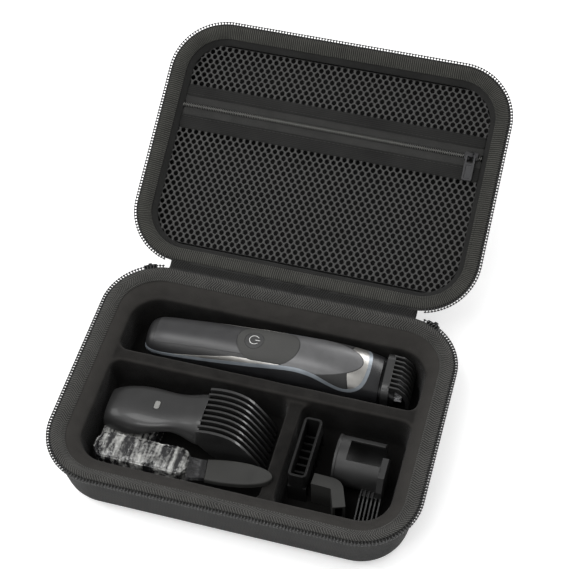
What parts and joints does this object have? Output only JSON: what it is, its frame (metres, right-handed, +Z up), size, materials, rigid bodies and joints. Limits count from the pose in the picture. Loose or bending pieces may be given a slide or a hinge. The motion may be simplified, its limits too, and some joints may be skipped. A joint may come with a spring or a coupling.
{
  "type": "trimmer hard case",
  "caption": "Zipped formed hard case, open, with a mesh pocket in the lid and a bayed tray holding a hair trimmer and its combs.",
  "frame": {"origin": "middle of the case's flat underside", "axes": "+Z up, +Y towards the hinge and the open lid, +X along the case's front, to the right"},
  "size_m": [0.245, 0.3441, 0.1262],
  "materials": {
    "case_shell": "woven nylon over moulded foam",
    "tray_lining": "brushed velvet over moulded foam",
    "binding": "woven tape",
    "zip_tape": "woven zip tape",
    "zip_teeth": "satin nylon",
    "pocket_cloth": "smooth cloth",
    "mesh": "knitted mesh",
    "zip_metal": "dark plated",
    "trimmer_black": "satin black",
    "trimmer_grey": "satin dark grey",
    "trim_blue": "satin blue grey",
    "panel_gloss": "gloss",
    "soft_grip": "matt soft touch",
    "accent_silver": "satin chrome",
    "blade_steel": "ground",
    "inner_parts": "plain",
    "cell": "sleeved",
    "motor_can": "plain",
    "comb_plastic": "satin",
    "bristle": "nylon",
    "clear_film": "clear crumpled film"
  },
  "bodies": {
    "base": {"base_shell": "case_shell", "base_tray": "tray_lining", "base_binding": "binding", "base_zip_tape": "zip_tape", "base_zip_teeth": "zip_teeth", "hinge_strip": "binding"},
    "lid": {"lid_shell": "case_shell", "lid_binding": "binding", "lid_zip_tape": "zip_tape", "lid_zip_teeth": "zip_teeth", "pocket_border": "pocket_cloth", "pocket_mesh_lower": "mesh", "pocket_mesh_upper": "mesh", "pocket_tape_lower": "zip_tape", "pocket_tape_upper": "zip_tape", "pocket_coil": "zip_teeth"},
    "pocket_slider": {"pocket_slider": "zip_metal"},
    "pocket_pull": {"pocket_pull": "zip_metal"},
    "zip_slider_left": {"zip_slider_left": "zip_metal"},
    "zip_slider_right": {"zip_slider_right": "zip_metal"},
    "zip_pull_left": {"zip_pull_left": "zip_metal"},
    "zip_pull_right": {"zip_pull_right": "zip_metal"},
    "trimmer": {"trimmer_housing": "trimmer_black", "trimmer_cover": "trimmer_grey", "trimmer_trim": "trim_blue", "face_panel": "panel_gloss", "soft_pad": "soft_grip", "shoulder_panel": "trimmer_grey", "side_accents": "accent_silver", "side_inserts": "trimmer_black", "neck_accent": "accent_silver", "indicator": "panel_gloss", "chassis": "inner_parts", "battery": "cell", "motor": "motor_can", "circuit_board": "inner_parts", "charging_socket": "trimmer_black", "trimmer_head": "trimmer_black", "fixed_blade": "blade_steel", "slim_comb": "comb_plastic"},
    "power_button": {"power_button": "soft_grip"},
    "moving_blade": {"moving_blade": "blade_steel"},
    "drive_eccentric": {"drive_eccentric": "inner_parts"},
    "accessory_bag": {"accessory_bag": "clear_film", "spare_comb": "comb_plastic"},
    "beard_comb": {"beard_comb": "comb_plastic"},
    "comb_lock_button": {"comb_lock_button": "comb_plastic"},
    "brush": {"brush_handle": "comb_plastic", "brush_bristles": "bristle"},
    "short_comb": {"short_comb": "comb_plastic"},
    "wide_comb": {"wide_comb": "comb_plastic"},
    "ring_comb": {"ring_comb": "comb_plastic"}
  },
  "joints": [
    {"name": "lid_hinge", "type": "hinge", "parent": "base", "child": "lid", "pos_m": [0, 0.0903, 0.045], "axis": [-1, 0, 0], "range_deg": [-153, 27], "deforming": ["hinge_strip"]},
    {"name": "zip_slider_left_run", "type": "hinge", "parent": "base", "child": "zip_slider_left", "pos_m": [-0.083, 0.0495, 0.045], "axis": [0, 0, 1], "range_deg": [0, 60]},
    {"name": "zip_slider_right_run", "type": "hinge", "parent": "base", "child": "zip_slider_right", "pos_m": [0.083, 0.0495, 0.045], "axis": [0, 0, -1], "range_deg": [0, 60]},
    {"name": "zip_pull_left_swing", "type": "hinge", "parent": "zip_slider_left", "child": "zip_pull_left", "pos_m": [-0.10058, 0.0872, 0.0405], "axis": [0.9063, 0.4226, 0], "range_deg": [0, 60]},
    {"name": "zip_pull_right_swing", "type": "hinge", "parent": "zip_slider_right", "child": "zip_pull_right", "pos_m": [0.10058, 0.0872, 0.0405], "axis": [0.9063, -0.4226, 0], "range_deg": [0, 60]},
    {"name": "pocket_slider_run", "type": "slide", "parent": "lid", "child": "pocket_slider", "axis": [-1, 0, 0], "range_m": [0, 0.199]},
    {"name": "pocket_pull_swing", "type": "hinge", "parent": "pocket_slider", "child": "pocket_pull", "pos_m": [0.0995, 0.19545, 0.09414], "axis": [-1, 0, 0], "range_deg": [0, 140]},
    {"name": "trimmer_lift", "type": "slide", "parent": "base", "child": "trimmer", "axis": [0, 0, 1], "range_m": [0, 0.06]},
    {"name": "power_button_press", "type": "slide", "parent": "trimmer", "child": "power_button", "axis": [0, 0, -1], "range_m": [0, 0.0008], "stiffness_N_per_m": 2000},
    {"name": "moving_blade_slide", "type": "slide", "parent": "trimmer", "child": "moving_blade", "axis": [-0.0349, 0.9994, 0], "range_m": [-0.0012, 0.0012]},
    {"name": "drive_eccentric_spin", "type": "hinge", "parent": "trimmer", "child": "drive_eccentric", "pos_m": [0.05397, 0.04492, 0.0187], "axis": [0.9994, 0.0349, 0], "continuous": true},
    {"name": "accessory_bag_lift", "type": "slide", "parent": "base", "child": "accessory_bag", "axis": [0, 0, 1], "range_m": [0, 0.06]},
    {"name": "beard_comb_lift", "type": "slide", "parent": "accessory_bag", "child": "beard_comb", "axis": [0, 0, 1], "range_m": [0, 0.06]},
    {"name": "comb_lock_press", "type": "slide", "parent": "beard_comb", "child": "comb_lock_button", "axis": [0, 0, -1], "range_m": [0, 0.001], "stiffness_N_per_m": 1500},
    {"name": "brush_lift", "type": "slide", "parent": "accessory_bag", "child": "brush", "axis": [0, 0, 1], "range_m": [0, 0.06]},
    {"name": "short_comb_lift", "type": "slide", "parent": "base", "child": "short_comb", "axis": [0, 0, 1], "range_m": [0, 0.06]},
    {"name": "wide_comb_lift", "type": "slide", "parent": "base", "child": "wide_comb", "axis": [0, 0, 1], "range_m": [0, 0.06]},
    {"name": "ring_comb_lift", "type": "slide", "parent": "base", "child": "ring_comb", "axis": [0, 0, 1], "range_m": [0, 0.06]}
  ]
}
